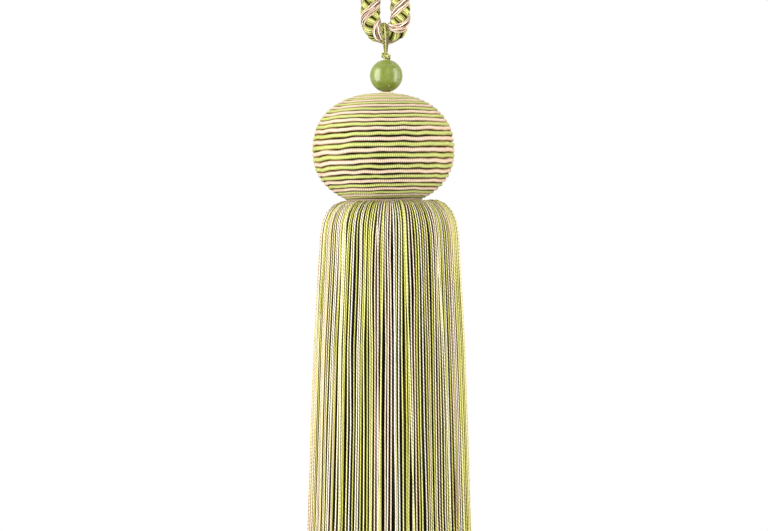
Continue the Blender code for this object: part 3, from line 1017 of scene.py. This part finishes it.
def hanging_route(outline_mm, angle, chance, layer, slant=0.0, loose_mm=0.3):
    """One yarn of a layer, at an angle round the skirt."""
    depth = chance.uniform(-loose_mm, 0.3) * MM
    end_drop = chance.uniform(-1, 1) * CUT_UNEVENNESS
    drift = chance.uniform(-1, 1) * DRIFT
    line = smooth_line([(radius * MM, 0, drop * MM) for radius, drop in outline_mm], steps=8)
    share = np.array(HANG_SHARES)
    flat = at_distances(line, share * distances(line)[-1])
    radius = np.maximum(flat[:, 0] + depth * np.minimum(1, share * 6), MIDDLE_RADIUS)
    drop = flat[:, 2] + end_drop * share + LEFT_SAG * (1 - max(0, math.cos(angle))) * (1 - share)
    sideways = []
    for r, d, s in zip(radius, drop, share):
        place = Vector((r * math.cos(angle), r * math.sin(angle), 0)) / LOCK_SIZE
        place.z = d / LOCK_LENGTH + 7.3 * layer
        lock = noise.noise(place) * LOCK_SHIFT * min(1, d / LOCK_GROWTH + LOCK_AT_CREST)
        own = noise.noise(Vector((angle * 90, 3.1 * layer, d / WANDER_LENGTH))) * WANDER
        sideways.append(lock + own + drift * s + slant * s)
    turned = angle + np.array(sideways) / radius
    x = skirt_axis + radius * np.cos(turned)
    return np.stack([x, radius * np.sin(turned), head_bottom - drop], axis=1)


def hang_layer(outline_mm, count, chance, layer, loose_mm):
    """Evenly started yarns all round, each a little off its place."""
    routes = []
    for number in range(count):
        start = number + chance.uniform(-START_UNEVENNESS, START_UNEVENNESS)
        angle = 2 * math.pi / count * start
        routes.append(hanging_route(outline_mm, angle, chance, layer, loose_mm=loose_mm))
    return routes


# %% [markdown]
# The dyes are mixed by chance in fixed shares, mostly lime green, and the same one
# seldom comes twice in a row. Deeper yarns lie in each other's shade, so they get
# painted shade and look much darker. Their cut ends are lit from below, so the
# painted shade fades there and they keep most of their own dye.

# %% Dye the skirt
SKIRT_DYES = (
    (LIME, 0.40), (MOSS, 0.17), (PINK, 0.15), (ROSE, 0.03), (CREAM, 0.20), (WARM_WHITE, 0.05),
)
REPEAT_CHANCE = 0.1
DYE_CHANGE = 0.12
# The painted shade on deeper yarns varies by these shares, and CUT_LIGHT fades the painted shade out at the
# cut ends.
DEEP_SHADE_CHANGES = (0.1, 0.3, 0.6, 1.0, 2.4)
CUT_DYE_KEPT = 0.85
CUT_LIGHT = np.interp(HANG_SHARES, HANG_SHARES[-2:], (0, CUT_DYE_KEPT))[:, None]
CREST_WIDTHS = ((0, 0.6), (0.04, 0.74), (0.12, 1.0))
STRAY_SLANT_MM = (2.5, 6.0)
STRAY_OUT_MM, STRAY_UP_MM = 0.3, 0.2
STRAY_LAYER = 99


def dye_row(count, chance, deep_shade_share):
    """Dyes for yarns side by side, with painted shade in deeper rows. The same one seldom comes twice in a
    row.
    """
    dyes = []
    choices = [dye for dye, _ in SKIRT_DYES]
    weights = [weight for _, weight in SKIRT_DYES]
    current = LIME
    for _ in range(count):
        last = current
        current = chance.choices(choices, weights)[0]
        if current is last and chance.random() > REPEAT_CHANCE:
            current = chance.choices(choices, weights)[0]
        if deep_shade_share == 1:
            dyes.append(shaded(current, 1 + chance.uniform(-1, 1) * DYE_CHANGE))
        else:
            deep = with_deep_shade(current, deep_shade_share * chance.choice(DEEP_SHADE_CHANGES))
            dyes.append(deep * (1 - CUT_LIGHT) + current * CUT_LIGHT)
    return dyes


def root_widths(count):
    """Yarns are squeezed thinner where they turn over the crest."""
    width = SKIRT_YARN * np.interp(HANG_SHARES, *zip(*CREST_WIDTHS))
    return [width] * count


def skirt_outward(route):
    """The direction out of the skirt at each point, square to the yarn."""
    radial = unit(np.stack([route[:, 0] - skirt_axis, route[:, 1], np.zeros(len(route))], axis=1))
    sideways = np.cross([0, 0, 1], radial)
    return np.cross(np.gradient(route, axis=0), sideways)


def skirt_piece(name, layers, seed, strays=0):
    """A piece of the skirt: rows of (outline, yarns, shade, looseness), then a few stray yarns."""
    chance = random.Random(seed)
    routes, dyes = [], []
    for layer, (outline_mm, count, shade, loose_mm) in enumerate(layers):
        routes += hang_layer(outline_mm, count, chance, layer + 10 * seed, loose_mm)
        dyes += dye_row(count, chance, shade)
    for _ in range(strays):
        angle = chance.uniform(0, 2 * math.pi)
        slant = chance.choice((-1, 1)) * chance.uniform(*STRAY_SLANT_MM) * MM
        raised = [(radius + STRAY_OUT_MM, drop - STRAY_UP_MM) for radius, drop in OUTER_OUTLINE_MM]
        routes.append(hanging_route(raised, angle, chance, STRAY_LAYER, slant))
        dyes += dye_row(1, chance, 1.0)
    outward = [skirt_outward(route) for route in routes]
    # Painted shade on the flanks: lighter at the skirt's left and right as if side light reaches in, and
    # gone at the cut ends.
    sideways = unit(np.concatenate(outward))[:, :1]
    shade_tint = FLANK_SHADE_TINT + (SKIRT_SIDE_LIT_TINT - FLANK_SHADE_TINT) * sideways ** 2
    shade_tint = shade_tint + (1 - shade_tint) * np.tile(CUT_LIGHT, (len(routes), 1))
    mesh = yarn_mesh(name, routes, root_widths(len(routes)), dyes, sides=6, outward=outward, shade_tint=shade_tint)
    mesh.materials.append(skirt_silk)
    return add_piece(name, mesh, "skirt")


skirt_silk = yarn_finish("skirt_silk", 1.65, (0.11, 0.085, 0.012))
# The third number in each row is the painted shade of that layer's yarns.
outer_layers = [
    (OUTER_OUTLINE_MM, 162, 1.0, 0.3),
    (sunk(OUTER_OUTLINE_MM, 0.9), 162, 0.03, 0.3),
    (sunk(OUTER_OUTLINE_MM, 1.8), 176, 0.015, 0.3),
]
skirt_piece("skirt_outer_yarns", outer_layers, 1, strays=32)
INNER_YARNS = (160, 150, 140, 130, 100, 60, 24)
INNER_SHADES = (0.02, 0.03, 0.06, 0.15, 0.3, 0.3, 0.3)
INNER_LOOSENESS_MM = (1.6, 2.4, 3.4, 4.5, 5.5, 6.0, 5.5)
inner_layers = zip(INNER_OUTLINES_MM, INNER_YARNS, INNER_SHADES, INNER_LOOSENESS_MM)
skirt_piece("skirt_inner_yarns", list(inner_layers), 2)

# %% [markdown]
# ## The heading
#
# Under the head the fringe's heading is a short drum bound with thread. It is
# turned like the bead, with a ridge for each turn of the binding.

# %% Turn the heading
HEADING_RADIUS = 14.5 * MM
HEADING_TOP = 1.2 * MM
HEADING_BOTTOM = -10.7 * MM
BINDING_TURNS = 13
BINDING_DEPTH = 0.25 * MM
HEADING_SIDES = 64

binding = [(0, HEADING_TOP)]
for half_turn in range(2 * BINDING_TURNS + 1):
    height = HEADING_TOP + (HEADING_BOTTOM - HEADING_TOP) * half_turn / (2 * BINDING_TURNS)
    binding.append((HEADING_RADIUS - BINDING_DEPTH * (half_turn % 2), height))
binding.append((0, HEADING_BOTTOM))
heading_place = Vector((skirt_axis, 0, head_bottom))
heading_mesh = turned_mesh("bound_heading", binding, heading_place, HEADING_SIDES)
made, tree, shader = new_finish("heading_thread", roughness=0.6)
thread_colours = {"stops": [(0.3, MOSS), (0.7, LIME)]}
connect(
    Wire.node(tree, "ShaderNodeValToRGB", thread_colours, {"Fac": mottled(tree, 1.2 * MM)}),
    shader,
    "Base Color",
)
connect(bumped(tree, mottled(tree, 0.4 * MM), 0.08 * MM), shader, "Normal")
heading_mesh.materials.append(made)
add_piece("bound_heading", heading_mesh, "skirt")

# %% [markdown]
# ## Floor, paper and lights
#
# The tassel hangs over a pale floor, in front of white paper. The paper is a large
# white dome that only the camera sees, so it doesn't flood the yarns with light.
# Tall soft boxes stand at the sides and make the tall highlights on the bead. A
# broad one in front and one behind light the yarns. Weak ones above and below open
# the shadows on top of the head and inside the cut end.

# %% Build the studio
FLOOR_HEIGHT = -2.5
FLOOR_RADIUS = 3.0
PAPER_RADIUS = 8.0


def stage_mesh(name, bm, colour, glow):
    """A piece of the studio, which isn't part of the tassel."""
    mesh = bpy.data.meshes.new(name)
    bm.to_mesh(mesh)
    bm.free()
    made, _, shader = new_finish(name, roughness=0.9)
    shader.inputs["Base Color"].default_value = (*colour, 1)
    shader.inputs["Emission Color"].default_value = (1, 1, 1, 1)
    shader.inputs["Emission Strength"].default_value = glow
    mesh.materials.append(made)
    mesh.shade_smooth()
    staged = bpy.data.objects.new(name, mesh)
    bpy.context.scene.collection.objects.link(staged)
    return staged


bm = bmesh.new()
bmesh.ops.create_circle(bm, cap_ends=True, segments=96, radius=FLOOR_RADIUS)
bmesh.ops.translate(bm, vec=(0, 0, FLOOR_HEIGHT), verts=bm.verts)
stage_mesh("pale_floor", bm, (0.82, 0.82, 0.81), 0.0)

bm = bmesh.new()
bmesh.ops.create_uvsphere(bm, u_segments=48, v_segments=24, radius=PAPER_RADIUS)
bmesh.ops.reverse_faces(bm, faces=bm.faces)
paper = stage_mesh("white_paper", bm, (0, 0, 0), 1.0)
paper.visible_diffuse = False
paper.visible_glossy = False
paper.visible_transmission = False
paper.visible_shadow = False

# %% Set the lights
ROOM_LIGHT = 0.41
TASSEL_MIDDLE = Vector((0, 0, -0.16))


def soft_box(name, azimuth_deg, elevation_deg, distance, width, height, brightness):
    """A soft box that faces the tassel. Azimuth 0 is the camera's side, 90 the right."""
    azimuth, elevation = math.radians(azimuth_deg), math.radians(elevation_deg)
    towards = Vector((
        math.sin(azimuth) * math.cos(elevation),
        -math.cos(azimuth) * math.cos(elevation),
        math.sin(elevation),
    ))
    lamp = bpy.data.lights.new(name, "AREA")
    lamp.shape = "RECTANGLE"
    lamp.size, lamp.size_y = width, height
    lamp.energy = brightness * math.pi * width * height
    box = bpy.data.objects.new(name, lamp)
    box.location = TASSEL_MIDDLE + towards * distance
    box.rotation_euler = towards.to_track_quat("Z", "Y").to_euler()
    bpy.context.scene.collection.objects.link(box)
    return box


soft_box("left_box", -70, 4, 1.2, 0.95, 2.0, 6.1)
soft_box("right_box", 74, 4, 1.2, 0.6, 2.0, 4.8)
soft_box("right_strip", 106, 4, 1.2, 0.12, 2.0, 4.2)
soft_box("top_box", 0, 100, 1.5, 1.6, 1.4, 0.8)
front_box = soft_box("front_box", 8, 12, 2.2, 1.5, 1.5, 6.1)
front_box.visible_glossy = False
low_box = soft_box("low_box", 0, -48, 1.6, 1.2, 0.9, 1.3)
low_box.visible_glossy = False
back_box = soft_box("back_box", 172, 12, 2.2, 1.5, 1.5, 3.8)
back_box.visible_glossy = False
back_box.visible_camera = False
world = bpy.data.worlds.new("studio_room")
world.use_nodes = True
room = world.node_tree.nodes["Background"]
room.inputs["Color"].default_value = (1.0, 0.99, 0.97, 1)
room.inputs["Strength"].default_value = ROOM_LIGHT
bpy.context.scene.world = world
bpy.context.scene.view_settings.view_transform = "Standard"
print("studio ready")
